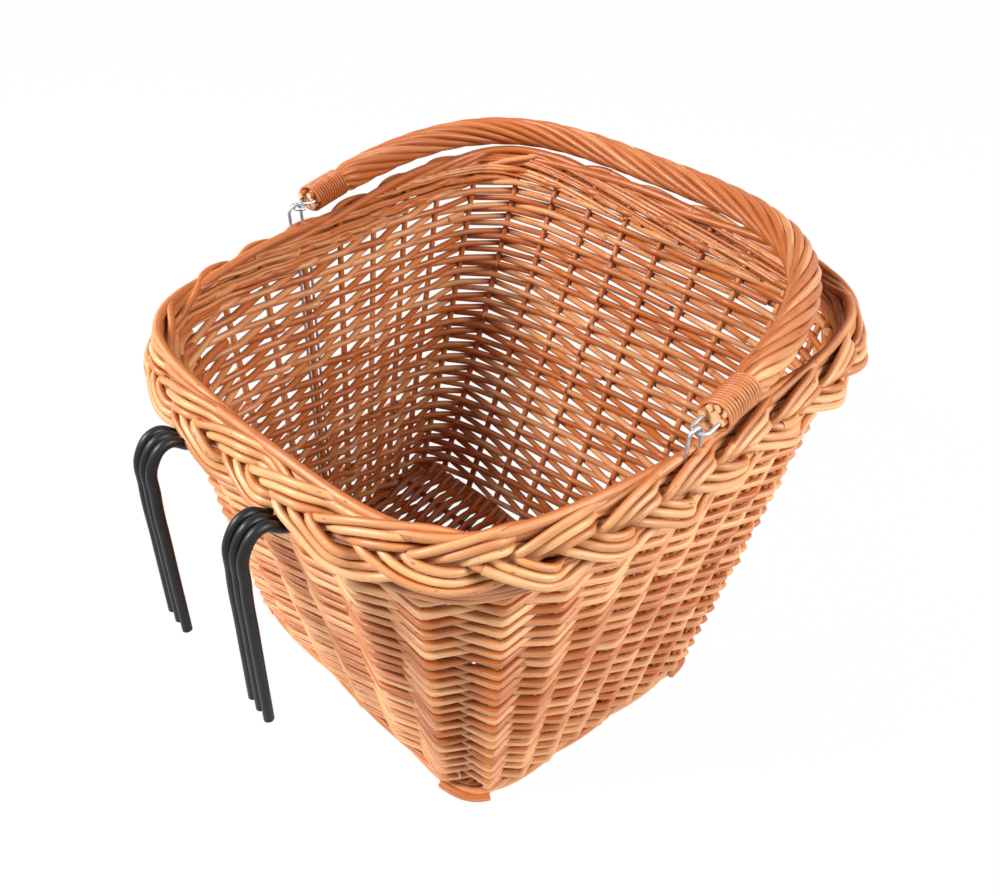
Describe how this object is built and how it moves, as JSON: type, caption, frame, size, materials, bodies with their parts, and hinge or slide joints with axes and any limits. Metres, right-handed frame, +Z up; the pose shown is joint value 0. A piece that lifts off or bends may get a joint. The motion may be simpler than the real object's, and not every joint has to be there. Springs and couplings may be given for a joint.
{
  "type": "bicycle basket",
  "caption": "Woven willow bicycle basket with a plaited rim, coated wire handlebar hooks and a folding twisted carrying handle.",
  "frame": {"origin": "on the floor, under the middle of the foot border on the side that carries the hooks", "axes": "+X along the handlebar and the handle's hinge line, +Y from the basket towards the rider, +Z up"},
  "size_m": [0.3958, 0.4416, 0.2905],
  "materials": {
    "willow": "steamed and polished willow rod, orange tan, satin",
    "willow_inner": "willow stakes and base rods, redder brown, satin",
    "willow_rim": "thicker plaited willow rods, pale peach tan, satin",
    "binding": "split willow skein wound round the handle ends",
    "zinc_wire": "zinc coated steel wire",
    "black_coating": "black plastic coating on bent steel rod"
  },
  "bodies": {
    "basket": {"foot_border": "willow", "base_stick_1": "willow_inner", "base_stick_2": "willow_inner", "base_stick_3": "willow_inner", "base_stick_4": "willow_inner", "base_weaver": "willow_inner", "stake_01": "willow_inner", "stake_02": "willow_inner", "stake_03": "willow_inner", "stake_04": "willow_inner", "stake_05": "willow_inner", "stake_06": "willow_inner", "stake_07": "willow_inner", "stake_08": "willow_inner", "stake_09": "willow_inner", "stake_10": "willow_inner", "stake_11": "willow_inner", "stake_12": "willow_inner", "stake_13": "willow_inner", "stake_14": "willow_inner", "stake_15": "willow_inner", "stake_16": "willow_inner", "stake_17": "willow_inner", "stake_18": "willow_inner", "stake_19": "willow_inner", "stake_20": "willow_inner", "stake_21": "willow_inner", "stake_22": "willow_inner", "stake_23": "willow_inner", "stake_24": "willow_inner", "stake_25": "willow_inner", "stake_26": "willow_inner", "stake_27": "willow_inner", "stake_28": "willow_inner", "stake_29": "willow_inner", "stake_30": "willow_inner", "stake_31": "willow_inner", "stake_32": "willow_inner", "stake_33": "willow_inner", "side_weave_lower": "willow", "side_weave_upper": "willow", "upper_wale": "willow", "rim_rod_upper": "willow", "rim_rod_lower": "willow", "plait_strand_1": "willow_rim", "plait_strand_2": "willow_rim", "plait_strand_3": "willow_rim", "rim_eye_left": "zinc_wire", "rim_eye_right": "zinc_wire", "hook_left_rod_1": "black_coating", "hook_left_rod_2": "black_coating", "hook_left_rod_3": "black_coating", "hook_right_rod_1": "black_coating", "hook_right_rod_2": "black_coating", "hook_right_rod_3": "black_coating"},
    "handle": {"handle_bow": "willow_rim", "handle_binding_left": "binding", "handle_binding_right": "binding", "handle_link_left": "zinc_wire", "handle_link_right": "zinc_wire"}
  },
  "joints": [
    {"name": "handle_hinge", "type": "hinge", "parent": "basket", "child": "handle", "pos_m": [0, -0.11136, 0.2758], "axis": [-1, 0, 0], "range_deg": [0, 177]}
  ]
}
